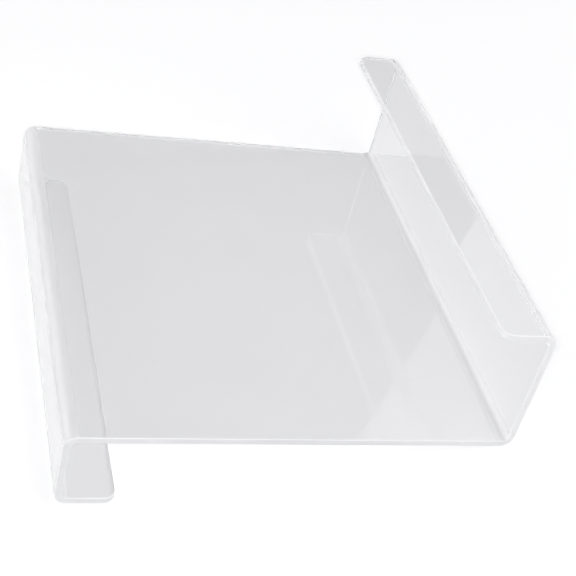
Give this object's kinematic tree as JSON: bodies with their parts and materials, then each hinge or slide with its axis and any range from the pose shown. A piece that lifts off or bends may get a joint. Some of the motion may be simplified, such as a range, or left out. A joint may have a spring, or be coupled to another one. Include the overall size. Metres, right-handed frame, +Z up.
{
  "type": "magazine rack",
  "caption": "Clear acrylic magazine rack of bent sheet: a sloping panel with a lipped pocket along its low edge and a hooked leg along its high edge.",
  "frame": {"origin": "centre of the bounding box at floor level, with the rack standing on the foot's free edge and the bend under the pocket", "axes": "+Z up; X along the bend lines; -Y is the pocket side, +Y the raised side with the leg and foot"},
  "size_m": [0.305, 0.2784, 0.0877],
  "materials": {
    "clear_acrylic": "polished"
  },
  "bodies": {
    "root": {"formed_sheet": "clear_acrylic"}
  },
  "joints": []
}
